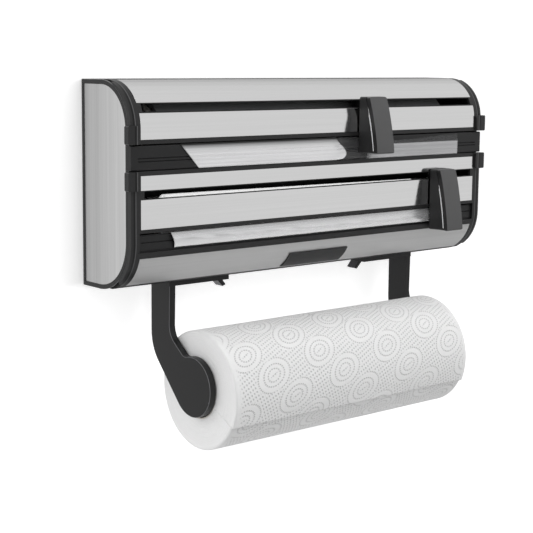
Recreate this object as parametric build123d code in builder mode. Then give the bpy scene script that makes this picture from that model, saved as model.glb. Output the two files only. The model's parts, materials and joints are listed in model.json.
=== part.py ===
from build123d import *
import os

os.makedirs("parts", exist_ok=True)

# Wall-mounted dispenser for cling film, foil and kitchen paper.
# X runs along the rolls, the wall is the plane Y = 0, the front faces -Y, Z is up.
# The origin is the middle of the housing's back face, on the wall.  All sizes in mm.

# --- overall housing section -------------------------------------------------
HALF_HEIGHT = 76.3       # half height of the end caps
CAP_FRONT = -60.4        # front of the end caps
CAP_R_TOP = 35.0         # top front corner of the end caps
CAP_R_BOTTOM = 38.4      # bottom front corner of the end caps
HALF_WIDTH = 183.5       # half width over the end caps
CAP_PLATE_IN = 181.5     # inner side of the end cap's outer plate
CAP_IN = 179.0           # inner side of the end cap's body
RIM = 3.1                # rim left round the steel side panel
SIDE_RECESS = 1.3        # depth of the seat of the side panel
SHEET = 0.8              # thickness of all steel sheet

# --- flaps -------------------------------------------------------------------
FLAP_FRONT = -64.0       # front face of both flaps and of the middle bar
FLAP_R_TOP = 34.0
FLAP_R_BOTTOM = 37.0
FLAP_WALL = 2.6
FLAP_HALF = 181.1        # half width of the flap shells
PANEL_HALF = 175.0       # half width of the steel on the flaps
PANEL_GAP = 0.2          # gap round each steel panel
BARREL_R = 4.0           # hinge barrel along the rear edge of a flap
PIN_R = 1.9              # hinge pins moulded on the end caps
PIN_CLEARANCE = 0.05
PIN_END = 173.0          # how far in the hinge pins reach
UPPER_HINGE = (-28.0, 72.3)
LOWER_HINGE = (-41.0, -69.4)

UPPER_FLAP_BOTTOM = 31.4
UPPER_PANEL = (34.5, 53.2)       # steel front panel, bottom and top
UPPER_SLOT = (54.0, 59.6)        # open slot the cutter runs in
UPPER_CURVE_BOTTOM = 60.3        # lower edge of the curved top panel
UPPER_CURVE_BACK = -33.5
LOWER_FLAP_TOP = 12.2
STRIP = (-1.5, 9.0)
LOWER_SLOT = (-7.5, -2.1)
LOWER_PANEL = (-29.4, -8.1)
RECESS = (-46.0, -32.0)          # opening the foil comes out of
LOWER_CURVE_TOP = -50.5
LOWER_CURVE_BACK = -44.0
TAB_OUT = 187.0
TAB_FRONT = -66.2

# --- fixed middle bar --------------------------------------------------------
BAR = (12.8, 30.4)
GROOVES = (21.3, 19.1)
GROOVE_WIDTH = 0.7
GROOVE_HALF = 177.3

# --- rolls -------------------------------------------------------------------
FILM_AXIS = (-28.0, 42.0)
FILM_R = 22.0
FOIL_AXIS = (-33.0, -30.0)
FOIL_R = 20.0
FILM_HALF = 150.0        # half length of the cling film and foil rolls
TUBE_R = 15.5            # inside of their cardboard tubes
TUBE_WALL = 1.2
CRADLE_GAP = 0.5
FILM_T = 0.3             # drawn thickness of film and foil

# --- kitchen paper -----------------------------------------------------------
HUB_AXIS = (-63.0, -150.7)
HUB_R = 16.1
PAPER_CORE_R = 20.0      # inside of the paper roll's tube
PAPER_DROP = 3.8         # the tube hangs this far below the hubs' axis
PAPER_R = 46.3
PAPER_HALF = 123.4

# --- swing arms of the paper holder -----------------------------------------
ARM_OUT = 129.8
ARM_IN = 124.3
ARM_BACK = -11.0
ARM_FRONT = -35.3
ARM_DISC_R = 22.8
FLOOR = (-74.8, -72.3)
FOOT = (-78.5, -75.1)
FOOT_END = 73.0
ARM_TRAVEL = 16.0


def slab(x0, x1, y0, y1, z0, z1, mode=Mode.ADD):
    """A straight block between two corners."""
    with Locations(((x0 + x1) / 2, (y0 + y1) / 2, (z0 + z1) / 2)):
        Box(x1 - x0, y1 - y0, z1 - z0, mode=mode)


def patch(y0, y1, z0, z1, mode=Mode.ADD):
    """A rectangle in the depth-height plane."""
    with Locations(((y0 + y1) / 2, (z0 + z1) / 2)):
        Rectangle(y1 - y0, z1 - z0, mode=mode)


def disc(centre, radius, mode=Mode.ADD):
    """A circle in the depth-height plane."""
    with Locations(centre):
        Circle(radius, mode=mode)


def d_face(back, front, bottom, top, r_bottom, r_top, mode=Mode.ADD):
    """The D shape of the housing: flat back, two rounded front corners."""
    with BuildLine() as outline:
        Polyline((front + r_top, top), (back, top), (back, bottom), (front + r_bottom, bottom))
        CenterArc((front + r_bottom, bottom + r_bottom), r_bottom, 180, 90)
        Line((front, bottom + r_bottom), (front, top - r_top))
        CenterArc((front + r_top, top - r_top), r_top, 90, 90)
    make_face(outline.edges(), mode=mode)


def cap_face(inset, mode=Mode.ADD):
    """The end cap's outline, taken in by an even margin."""
    d_face(
        -inset,
        CAP_FRONT + inset,
        -HALF_HEIGHT + inset,
        HALF_HEIGHT - inset,
        CAP_R_BOTTOM - inset,
        CAP_R_TOP - inset,
        mode,
    )


def flap_face(inset, mode=Mode.ADD):
    """The outline both flaps share, taken in by an even margin."""
    d_face(
        -20,
        FLAP_FRONT + inset,
        -HALF_HEIGHT + inset,
        HALF_HEIGHT - inset,
        FLAP_R_BOTTOM - inset,
        FLAP_R_TOP - inset,
        mode,
    )


def curved_sheet(half, outer, inner, y0, y1, z0, z1, mode=Mode.ADD):
    """A strip of the flap outline between two depths below its surface."""
    with BuildSketch(Plane.YZ.offset(-half)) as section:
        flap_face(outer)
        flap_face(inner, mode=Mode.SUBTRACT)
        patch(y0, y1, z0, z1, mode=Mode.INTERSECT)
    extrude(section.sketch, amount=2 * half, mode=mode)


def cylinder_x(centre, radius, x0, x1, mode=Mode.ADD):
    """A round bar along X."""
    with BuildSketch(Plane.YZ.offset(x0)) as section:
        disc(centre, radius)
    extrude(section.sketch, amount=x1 - x0, mode=mode)


# ============================ housing ========================================

with BuildPart() as back_shell:
    slab(-CAP_IN, CAP_IN, -2.5, 0, FLOOR[0], HALF_HEIGHT)
    slab(-CAP_IN, CAP_IN, -23.5, -2.5, HALF_HEIGHT - 2.5, HALF_HEIGHT)
    slab(-CAP_IN, CAP_IN, -36.5, -2.5, FLOOR[0], FLOOR[1])
    slab(-CAP_IN, CAP_IN, -57.0, -2.5, BAR[0], BAR[0] + 2.5)
    for x in (-120, 0, 120):
        # cradle ribs the cling film roll and the foil roll lie in
        with BuildSketch(Plane.YZ.offset(x - 1.5)):
            patch(-46, -2.5, BAR[0] + 2.5, 34)
            disc(FILM_AXIS, FILM_R + CRADLE_GAP, mode=Mode.SUBTRACT)
        extrude(amount=3)
        with BuildSketch(Plane.YZ.offset(x - 1.5)):
            with BuildLine():
                Polyline((-2.5, -66), (-49, -55), (-49, -40), (-2.5, -34), close=True)
            make_face()
            disc(FOIL_AXIS, FOIL_R + CRADLE_GAP, mode=Mode.SUBTRACT)
        extrude(amount=3)
    for side in (-1, 1):
        # slot in the floor that an arm's foot slides along
        with Locations((side * 107.25, -23, -73.55)):
            Box(56.5, 8, 4, mode=Mode.SUBTRACT)
        # keyhole: the screw head enters below and the shank rides up the slot
        with Locations((side * 125, -1.25, 56)):
            Cylinder(4.75, 6, rotation=(90, 0, 0), mode=Mode.SUBTRACT)
        with Locations((side * 125, -1.25, 64)):
            Cylinder(2.4, 6, rotation=(90, 0, 0), mode=Mode.SUBTRACT)
        with Locations((side * 125, -1.25, 60)):
            Box(4.8, 6, 8, mode=Mode.SUBTRACT)

with BuildPart() as left_end_cap:
    with BuildSketch(Plane.YZ.offset(-HALF_WIDTH)):
        cap_face(0)
    extrude(amount=HALF_WIDTH - CAP_PLATE_IN)
    rim_edges = left_end_cap.faces().sort_by(Axis.X)[0].edges()
    fillet(rim_edges, 0.7)
    with BuildSketch(Plane.YZ.offset(-HALF_WIDTH)):
        cap_face(RIM)
    extrude(amount=SIDE_RECESS, mode=Mode.SUBTRACT)
    # the body of the cap stops short of the flaps' shells
    with BuildSketch(Plane.YZ.offset(-CAP_PLATE_IN)):
        d_face(0, CAP_FRONT, -72.7, 72.5, 33.4, 30.4)
        patch(-23.5, 0, 60, HALF_HEIGHT)
        patch(-36.5, 0, FLOOR[0], -60)
        disc(UPPER_HINGE, BARREL_R + 0.6, mode=Mode.SUBTRACT)
        disc(LOWER_HINGE, BARREL_R + 0.6, mode=Mode.SUBTRACT)
    extrude(amount=CAP_PLATE_IN - CAP_IN)
    for axis in (UPPER_HINGE, LOWER_HINGE):
        cylinder_x(axis, PIN_R, -CAP_PLATE_IN, -PIN_END)

with BuildPart() as right_end_cap:
    mirror(left_end_cap.part, about=Plane.YZ)

with BuildPart() as left_side_panel:
    with BuildSketch(Plane.YZ.offset(-HALF_WIDTH + SIDE_RECESS - SHEET)):
        cap_face(RIM + 0.1)
    extrude(amount=SHEET)

with BuildPart() as right_side_panel:
    mirror(left_side_panel.part, about=Plane.YZ)

with BuildPart() as middle_bar:
    slab(-HALF_WIDTH, HALF_WIDTH, FLAP_FRONT, CAP_FRONT, *BAR)
    slab(-CAP_IN, CAP_IN, CAP_FRONT, -57.0, BAR[0], BAR[0] + 2.5)
    slab(-CAP_IN, CAP_IN, CAP_FRONT, -58.0, BAR[1] - 2.2, BAR[1])
    front_corners = middle_bar.edges().filter_by(Axis.X).group_by(Axis.Y)[0]
    fillet(front_corners, 0.8)
    for z in GROOVES:
        slab(-GROOVE_HALF, GROOVE_HALF, FLAP_FRONT, FLAP_FRONT + 1.2,
             z - GROOVE_WIDTH / 2, z + GROOVE_WIDTH / 2, mode=Mode.SUBTRACT)

# ============================ upper flap =====================================

with BuildPart() as upper_flap_frame:
    with BuildSketch(Plane.YZ.offset(-FLAP_HALF)):
        flap_face(0)
        flap_face(FLAP_WALL, mode=Mode.SUBTRACT)
        patch(-70, UPPER_HINGE[0], UPPER_FLAP_BOTTOM, 80, mode=Mode.INTERSECT)
        disc(UPPER_HINGE, BARREL_R)
    extrude(amount=2 * FLAP_HALF)
    # flanges that lap over the front edge of each end cap
    for x in (-HALF_WIDTH, FLAP_HALF):
        with BuildSketch(Plane.YZ.offset(x)):
            flap_face(0)
            cap_face(-0.5, mode=Mode.SUBTRACT)
            patch(-70, -40, UPPER_FLAP_BOTTOM, 80, mode=Mode.INTERSECT)
        extrude(amount=HALF_WIDTH - FLAP_HALF)
    # seats for the steel panels
    seat = PANEL_HALF + PANEL_GAP
    curved_sheet(seat, -1, SHEET, -70, UPPER_CURVE_BACK + PANEL_GAP,
                 UPPER_CURVE_BOTTOM - PANEL_GAP, 80, mode=Mode.SUBTRACT)
    curved_sheet(seat, -1, SHEET, -70, -50,
                 UPPER_PANEL[0] - PANEL_GAP, UPPER_PANEL[1] + PANEL_GAP, mode=Mode.SUBTRACT)
    # cutter slot
    slab(-172, 172, -70, -40, *UPPER_SLOT, mode=Mode.SUBTRACT)
    # finger tabs at both lower corners
    for side in (-1, 1):
        x0, x1 = sorted((side * 176.5, side * TAB_OUT))
        with BuildSketch(Plane.XZ.offset(-TAB_FRONT)):
            with Locations(((x0 + x1) / 2, (UPPER_FLAP_BOTTOM + 44.6) / 2)):
                RectangleRounded(x1 - x0, 44.6 - UPPER_FLAP_BOTTOM, 1.2)
        extrude(amount=TAB_FRONT + 61.2)
    for side in (-1, 1):
        x0, x1 = sorted((side * PIN_END - side * 0.5, side * (FLAP_HALF + 1)))
        cylinder_x(UPPER_HINGE, PIN_R + PIN_CLEARANCE, x0, x1, mode=Mode.SUBTRACT)

with BuildPart() as upper_top_panel:
    curved_sheet(PANEL_HALF, 0, SHEET, -70, UPPER_CURVE_BACK, UPPER_CURVE_BOTTOM, 80)

with BuildPart() as upper_front_panel:
    curved_sheet(PANEL_HALF, 0, SHEET, -70, -50, *UPPER_PANEL)

# ============================ lower flap =====================================

with BuildPart() as lower_flap_frame:
    with BuildSketch(Plane.YZ.offset(-FLAP_HALF)):
        flap_face(0)
        flap_face(FLAP_WALL, mode=Mode.SUBTRACT)
        patch(-70, LOWER_HINGE[0], -80, LOWER_FLAP_TOP, mode=Mode.INTERSECT)
        disc(LOWER_HINGE, BARREL_R)
    extrude(amount=2 * FLAP_HALF)
    for x in (-HALF_WIDTH, FLAP_HALF):
        with BuildSketch(Plane.YZ.offset(x)):
            flap_face(0)
            cap_face(-0.5, mode=Mode.SUBTRACT)
            patch(-70, -48, -80, LOWER_FLAP_TOP, mode=Mode.INTERSECT)
        extrude(amount=HALF_WIDTH - FLAP_HALF)
    curved_sheet(seat, -1, SHEET, -70, -50,
                 STRIP[0] - PANEL_GAP, STRIP[1] + PANEL_GAP, mode=Mode.SUBTRACT)
    curved_sheet(seat, -1, SHEET, -70, -50,
                 LOWER_PANEL[0] - PANEL_GAP, LOWER_PANEL[1] + PANEL_GAP, mode=Mode.SUBTRACT)
    curved_sheet(seat, -1, SHEET, -70, LOWER_CURVE_BACK + PANEL_GAP,
                 -80, LOWER_CURVE_TOP + PANEL_GAP, mode=Mode.SUBTRACT)
    slab(-172, 172, -70, -55, *LOWER_SLOT, mode=Mode.SUBTRACT)
    # opening of the foil exit, rebated so that the exit plate sits in from behind
    slab(-176.2, 176.2, -70, -50, *RECESS, mode=Mode.SUBTRACT)
    for side in (-1, 1):
        x0, x1 = sorted((side * 176.5, side * TAB_OUT))
        with BuildSketch(Plane.XZ.offset(-TAB_FRONT)):
            with Locations(((x0 + x1) / 2, (LOWER_FLAP_TOP - 1.4) / 2)):
                RectangleRounded(x1 - x0, LOWER_FLAP_TOP + 1.4, 1.2)
        extrude(amount=TAB_FRONT + 61.2)
    for side in (-1, 1):
        x0, x1 = sorted((side * PIN_END - side * 0.5, side * (FLAP_HALF + 1)))
        cylinder_x(LOWER_HINGE, PIN_R + PIN_CLEARANCE, x0, x1, mode=Mode.SUBTRACT)

with BuildPart() as lower_strip:
    curved_sheet(PANEL_HALF, 0, SHEET, -70, -50, *STRIP)

with BuildPart() as lower_front_panel:
    curved_sheet(PANEL_HALF, 0, SHEET, -70, -50, *LOWER_PANEL)

with BuildPart() as lower_bottom_panel:
    curved_sheet(PANEL_HALF, 0, SHEET, -70, LOWER_CURVE_BACK, -80, LOWER_CURVE_TOP)

with BuildPart() as foil_exit_plate:
    # stands 1.4 mm below the lip so that the foil can pass over its top edge
    slab(-176.2, 176.2, -62.0, -59.4, RECESS[0], -33.4)
    slab(-176.2, 176.2, -62.0, -61.4, RECESS[0], -44.6, mode=Mode.SUBTRACT)
    slab(-176.2, 176.2, -62.0, -61.6, -34.1, -33.4, mode=Mode.SUBTRACT)
    slab(-174, 174, -62.0, -60.8, -39.4, -38.6, mode=Mode.SUBTRACT)

with BuildPart() as nameplate:
    curved_sheet(31, -1.0, 0, -70, -40, -71.0, -59.0)
    fillet(nameplate.edges().filter_by(Axis.X).group_by(Axis.Y)[0], 0.3)

# ============================ cutters ========================================


def knob_outline(z_top, z_bottom, back_x, mode=Mode.ADD):
    """Side view of a cutter knob: straight back, curved front leaning out downwards."""
    height = z_top - z_bottom
    top, middle, bottom = KNOB_FRONT
    with BuildLine() as outline:
        Polyline((top, z_top), (back_x, z_top), (back_x, z_bottom), (bottom, z_bottom))
        Spline(
            (top, z_top),
            (middle, z_top - 0.45 * height),
            (bottom, z_bottom),
            tangents=[(-0.4, -1), (-0.08, -1)],
        )
    make_face(outline.edges(), mode=mode)


def knob_front(z_top, z_bottom, depth, mode=Mode.INTERSECT):
    """The outer layer of the knob, an even depth in from its curved front."""
    height = z_top - z_bottom
    top, middle, bottom = KNOB_FRONT
    with BuildLine() as outline:
        Polyline((top + depth, z_top + 1), (-95, z_top + 1), (-95, z_bottom - 1),
                 (bottom + depth, z_bottom - 1))
        Spline(
            (top + depth, z_top + 1),
            (middle + depth, z_top - 0.45 * height),
            (bottom + depth, z_bottom - 1),
            tangents=[(-0.4, -1), (-0.08, -1)],
        )
    make_face(outline.edges(), mode=mode)


KNOB_WIDTH = 19.0
KNOB_REAR = 11.6                    # half width where the body flares out at its back
KNOB_FRONT = (-74.2, -80.2, -84.4)  # front of the curve at the top, below the middle, at the foot
COVER_DEPTH = 4.6
KNOB_BACK = -65.2


def knob_shell(x, z_top, z_bottom, slot, blade_z, blade_tip):
    """Knob body centred on x, with sockets for its slider's neck and its blade."""
    with BuildSketch(Plane.YZ.offset(x - KNOB_REAR)) as section:
        knob_outline(z_top, z_bottom, KNOB_BACK)
        knob_front(z_top, z_bottom, COVER_DEPTH, mode=Mode.SUBTRACT)
    extrude(section.sketch, amount=2 * KNOB_REAR)
    half, waist = KNOB_WIDTH / 2, KNOB_BACK - 9
    with BuildSketch(Plane.XY.offset(z_bottom - 2)) as plan:
        with BuildLine() as outline:
            Polyline((x - KNOB_REAR, KNOB_BACK), (x + KNOB_REAR, KNOB_BACK), (x + half, waist),
                     (x + half, -95), (x - half, -95), (x - half, waist), close=True)
        make_face(outline.edges())
    extrude(plan.sketch, amount=z_top - z_bottom + 4, mode=Mode.INTERSECT)
    slab(x - 6, x + 6, -70, KNOB_BACK, slot[0] + 0.3, slot[1] - 0.3, mode=Mode.SUBTRACT)
    slab(x - 4, x + 4, -69, KNOB_BACK, blade_z - 0.2, blade_z + 0.2, mode=Mode.SUBTRACT)


def knob_cover(x, z_top, z_bottom):
    """Front cap of the knob."""
    with BuildSketch(Plane.YZ.offset(x - KNOB_WIDTH / 2)) as section:
        knob_outline(z_top, z_bottom, KNOB_BACK)
        knob_front(z_top, z_bottom, COVER_DEPTH)
    extrude(section.sketch, amount=KNOB_WIDTH)


def round_cover(cover):
    """Softens the long front edges and the top and bottom of a knob's cover."""
    front = cover.faces().sort_by(Axis.Y)[0]
    fillet(front.edges(), 1.2)


def slider(x, slot, neck_front, head_front):
    """Neck through the flap's slot and a wider head behind it."""
    middle = (slot[0] + slot[1]) / 2
    slab(x - 6, x + 6, neck_front, head_front, slot[0] + 0.3, slot[1] - 0.3)
    slab(x - 8, x + 8, head_front, head_front + 2.5, middle - 5.2, middle + 5.2)


def blade(x, z, tip):
    """Flat pointed blade lying level, its point towards the wall."""
    with BuildSketch(Plane.XY.offset(z - 0.2)) as section:
        with BuildLine():
            Polyline((x - 4, -69), (x + 4, -69), (x + 4, KNOB_BACK - 0.4), (x, tip),
                     (x - 4, KNOB_BACK - 0.4), close=True)
        make_face()
    extrude(section.sketch, amount=0.4)


UPPER_KNOB = (47.5, 62.4, 17.4)      # middle, top, bottom
LOWER_KNOB = (131.7, 0.3, -50.8)
UPPER_BLADE = (GROOVES[0], -64.95)   # height, tip
LOWER_BLADE = (-39.0, -63.0)

with BuildPart() as upper_cutter_knob:
    knob_shell(*UPPER_KNOB, UPPER_SLOT, *UPPER_BLADE)
with BuildPart() as upper_cutter_cover:
    knob_cover(*UPPER_KNOB)
    round_cover(upper_cutter_cover)
with BuildPart() as upper_cutter_slider:
    slider(UPPER_KNOB[0], UPPER_SLOT, -70, -53.9)
with BuildPart() as upper_cutter_blade:
    blade(UPPER_KNOB[0], *UPPER_BLADE)

with BuildPart() as lower_cutter_knob:
    knob_shell(*LOWER_KNOB, LOWER_SLOT, *LOWER_BLADE)
with BuildPart() as lower_cutter_cover:
    knob_cover(*LOWER_KNOB)
    round_cover(lower_cutter_cover)
with BuildPart() as lower_cutter_slider:
    slider(LOWER_KNOB[0], LOWER_SLOT, -70, -61.1)
with BuildPart() as lower_cutter_blade:
    blade(LOWER_KNOB[0], *LOWER_BLADE)

# ============================ film and foil ==================================

with BuildPart() as film_tube:
    cylinder_x(FILM_AXIS, TUBE_R + TUBE_WALL, -FILM_HALF - 4, FILM_HALF + 4)
    cylinder_x(FILM_AXIS, TUBE_R, -FILM_HALF - 4, FILM_HALF + 4, mode=Mode.SUBTRACT)

with BuildPart() as film_roll:
    cylinder_x(FILM_AXIS, FILM_R, -FILM_HALF, FILM_HALF)
    cylinder_x(FILM_AXIS, TUBE_R + TUBE_WALL, -FILM_HALF, FILM_HALF, mode=Mode.SUBTRACT)

with BuildPart() as foil_tube:
    cylinder_x(FOIL_AXIS, TUBE_R + TUBE_WALL, -FILM_HALF - 4, FILM_HALF + 4)
    cylinder_x(FOIL_AXIS, TUBE_R, -FILM_HALF - 4, FILM_HALF + 4, mode=Mode.SUBTRACT)

with BuildPart() as foil_roll:
    cylinder_x(FOIL_AXIS, FOIL_R, -FILM_HALF, FILM_HALF)
    cylinder_x(FOIL_AXIS, TUBE_R + TUBE_WALL, -FILM_HALF, FILM_HALF, mode=Mode.SUBTRACT)


def web(x0, x1, path, thickness):
    """A thin sheet swept along X, following a line drawn in the depth-height plane."""
    with BuildSketch(Plane.YZ.offset(x0)) as section:
        with BuildLine():
            FilletPolyline(*path, radius=0.9)
            offset(amount=thickness, side=Side.RIGHT)
        make_face()
    extrude(section.sketch, amount=x1 - x0)


with BuildPart() as film_sheet:
    web(-148, 148,
        [(-46.9, 54.4), (-61.0, 31.0), (-64.7, 30.75), (-64.7, 13.4)], FILM_T)
    # the loose corner has been torn off on a slant
    with BuildSketch(Plane.XZ.offset(60)):
        with BuildLine():
            Polyline((-160, 31.2), (-141.3, 30.6), (-125, 13), (-125, 10), (-160, 10), close=True)
        make_face()
    extrude(amount=6, mode=Mode.SUBTRACT)

with BuildPart() as foil_sheet:
    web(-147.5, 148,
        [(-49.0, -17.6), (-60.0, -32.7), (-62.8, -33.0), (-62.8, -44.4)], FILM_T)

# ============================ paper holder ===================================


def arm_outline():
    """Flat arm: straight leg bending forward into a round end."""
    with BuildLine() as outline:
        Polyline(
            (ARM_FRONT, -76),
            (ARM_BACK, -76),
            (ARM_BACK, -128.6),
            (HUB_AXIS[0] + ARM_DISC_R * 0.736, HUB_AXIS[1] - ARM_DISC_R * 0.677),
            HUB_AXIS,
            (-57.0, -132.6),
            (-34.6, -115.6),
            close=True,
        )
    make_face(outline.edges())
    disc(HUB_AXIS, ARM_DISC_R)


with BuildPart() as left_arm:
    with BuildSketch(Plane.YZ.offset(-ARM_OUT)) as arm_side:
        arm_outline()
        fillet(arm_side.vertices().sort_by_distance((ARM_BACK, -128.6))[0], 34)
        fillet(arm_side.vertices().sort_by_distance((-34.6, -115.6))[0], 16)
        fillet(arm_side.vertices().sort_by_distance((-54, -130))[0], 7)
    extrude(amount=ARM_OUT - ARM_IN)
    fillet(left_arm.faces().sort_by(Axis.X)[0].edges(), 0.8)
    # the inner side is hollowed out, leaving a rim
    with BuildSketch(Plane.YZ.offset(-ARM_IN - 3.0)):
        add(arm_side.faces()[0].moved(Location((ARM_OUT - ARM_IN - 3.0, 0, 0))))
        offset(amount=-2.4)
    extrude(amount=3.0, mode=Mode.SUBTRACT)
    # hub that carries the tube of the paper roll
    cylinder_x(HUB_AXIS, HUB_R, -ARM_IN - 3.2, -ARM_IN + 14)
    fillet(left_arm.faces().sort_by(Axis.X)[-1].edges(), 2.0)
    # foot under the housing, T-shaped lug above it, release tab below it
    slab(-ARM_OUT, -FOOT_END, ARM_FRONT, ARM_BACK, *FOOT)
    slab(-118, -80, -26.7, -19.3, FOOT[1], -72.0)
    slab(-118, -80, -30, -16, -72.0, -70.0)
    with BuildSketch(Plane.XZ.offset(18.0)):
        with BuildLine():
            Polyline((-79.5, -77.5), (-75.0, -77.5), (-69.6, -84.0), (-72.6, -85.2),
                     (-79.5, -78.2), close=True)
        make_face()
    extrude(amount=9)

with BuildPart() as right_arm:
    mirror(left_arm.part, about=Plane.YZ)

PAPER_AXIS = (HUB_AXIS[0], HUB_AXIS[1] - PAPER_DROP)

with BuildPart() as paper_tube:
    cylinder_x(PAPER_AXIS, PAPER_CORE_R + 1.0, -PAPER_HALF, PAPER_HALF)
    cylinder_x(PAPER_AXIS, PAPER_CORE_R, -PAPER_HALF, PAPER_HALF, mode=Mode.SUBTRACT)

with BuildPart() as paper_roll:
    cylinder_x(PAPER_AXIS, PAPER_R, -PAPER_HALF, PAPER_HALF)
    fillet(paper_roll.edges().filter_by(GeomType.CIRCLE), 2.0)
    cylinder_x(PAPER_AXIS, PAPER_CORE_R + 1.0, -PAPER_HALF, PAPER_HALF, mode=Mode.SUBTRACT)

# ============================ named pieces ===================================

PIECES = {
    "back_shell": back_shell,
    "left_end_cap": left_end_cap,
    "right_end_cap": right_end_cap,
    "left_side_panel": left_side_panel,
    "right_side_panel": right_side_panel,
    "middle_bar": middle_bar,
    "upper_flap_frame": upper_flap_frame,
    "upper_top_panel": upper_top_panel,
    "upper_front_panel": upper_front_panel,
    "lower_flap_frame": lower_flap_frame,
    "lower_strip": lower_strip,
    "lower_front_panel": lower_front_panel,
    "lower_bottom_panel": lower_bottom_panel,
    "foil_exit_plate": foil_exit_plate,
    "nameplate": nameplate,
    "upper_cutter_knob": upper_cutter_knob,
    "upper_cutter_cover": upper_cutter_cover,
    "upper_cutter_slider": upper_cutter_slider,
    "upper_cutter_blade": upper_cutter_blade,
    "lower_cutter_knob": lower_cutter_knob,
    "lower_cutter_cover": lower_cutter_cover,
    "lower_cutter_slider": lower_cutter_slider,
    "lower_cutter_blade": lower_cutter_blade,
    "film_tube": film_tube,
    "film_roll": film_roll,
    "film_sheet": film_sheet,
    "foil_tube": foil_tube,
    "foil_roll": foil_roll,
    "foil_sheet": foil_sheet,
    "left_arm": left_arm,
    "right_arm": right_arm,
    "paper_tube": paper_tube,
    "paper_roll": paper_roll,
}

for name, piece in PIECES.items():
    piece.part.label = name
    export_step(piece.part, f"parts/{name}.step")
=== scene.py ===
import json
import math

import bmesh
import bpy
from mathutils import Matrix, Vector


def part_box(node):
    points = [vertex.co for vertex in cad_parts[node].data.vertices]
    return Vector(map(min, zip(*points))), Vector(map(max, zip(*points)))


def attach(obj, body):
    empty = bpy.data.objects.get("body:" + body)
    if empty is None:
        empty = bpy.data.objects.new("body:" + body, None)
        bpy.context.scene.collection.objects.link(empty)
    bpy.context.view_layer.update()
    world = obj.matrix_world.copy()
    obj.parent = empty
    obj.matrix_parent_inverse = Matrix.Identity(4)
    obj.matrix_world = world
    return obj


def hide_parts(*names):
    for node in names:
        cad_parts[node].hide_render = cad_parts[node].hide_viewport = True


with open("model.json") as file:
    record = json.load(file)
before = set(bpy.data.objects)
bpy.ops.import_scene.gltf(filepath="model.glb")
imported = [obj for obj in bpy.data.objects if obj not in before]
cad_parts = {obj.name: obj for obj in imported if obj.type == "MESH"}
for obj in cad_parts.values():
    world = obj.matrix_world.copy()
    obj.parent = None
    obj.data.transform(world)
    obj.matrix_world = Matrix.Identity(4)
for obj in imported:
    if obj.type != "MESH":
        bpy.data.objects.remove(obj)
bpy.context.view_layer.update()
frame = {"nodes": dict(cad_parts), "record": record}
MM = 0.001

# ------------------------------------------------------------------ camera
camera_data = bpy.data.cameras.new("camera")
camera_data.sensor_width = 36
camera_data.lens = 89.26
camera_data.shift_y = -0.055
camera_data.clip_end = 20
camera = bpy.data.objects.new("camera", camera_data)
bpy.context.collection.objects.link(camera)
turn = (
    Matrix.Rotation(math.radians(-39.90), 4, "Z")
    @ Matrix.Rotation(math.radians(90 - 7.68), 4, "X")
    @ Matrix.Rotation(math.radians(0.50), 4, "Z")
)
camera.matrix_world = Matrix.Translation((-0.7024, -0.8333, 0.0917)) @ turn
bpy.context.scene.camera = camera
bpy.context.scene.view_settings.view_transform = "Standard"


# ------------------------------------------------------------------ shader helpers
def socket(group, name, kind="NodeSocketFloat", value=None, out=False):
    """A named socket on a node group's outside."""
    s = group.interface.new_socket(name, in_out="OUTPUT" if out else "INPUT", socket_type=kind)
    if value is not None:
        s.default_value = value
    return s


def new_group(name, inputs, outputs):
    """An empty shader group with its input and output nodes."""
    group = bpy.data.node_groups.new(name, "ShaderNodeTree")
    for label, kind, value in inputs:
        socket(group, label, kind, value)
    for label, kind in outputs:
        socket(group, label, kind, out=True)
    return group, group.nodes.new("NodeGroupInput"), group.nodes.new("NodeGroupOutput")


def add_node(tree, kind, **settings):
    """A node with its properties and, by name, its input values set."""
    n = tree.nodes.new(kind)
    for key, value in settings.items():
        if hasattr(n, key):
            setattr(n, key, value)
        else:
            n.inputs[key.replace("_", " ")].default_value = value
    return n


def maths(tree, operation, a, b=None, clamp=False):
    """A Math node fed by sockets or plain numbers; returns its output socket."""
    n = tree.nodes.new("ShaderNodeMath")
    n.operation = operation
    n.use_clamp = clamp
    for i, v in enumerate((a, b)):
        if v is None:
            continue
        if hasattr(v, "is_output"):
            tree.links.new(v, n.inputs[i])
        else:
            n.inputs[i].default_value = v
    return n.outputs[0]


def spread(tree, value, low, high, to_low=0.0, to_high=1.0):
    """Map Range from low..high to to_low..to_high, clamped."""
    n = tree.nodes.new("ShaderNodeMapRange")
    tree.links.new(value, n.inputs["Value"])
    n.inputs["From Min"].default_value = low
    n.inputs["From Max"].default_value = high
    n.inputs["To Min"].default_value = to_low
    n.inputs["To Max"].default_value = to_high
    return n.outputs["Result"]


VEC, NUM = "NodeSocketVector", "NodeSocketFloat"


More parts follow.
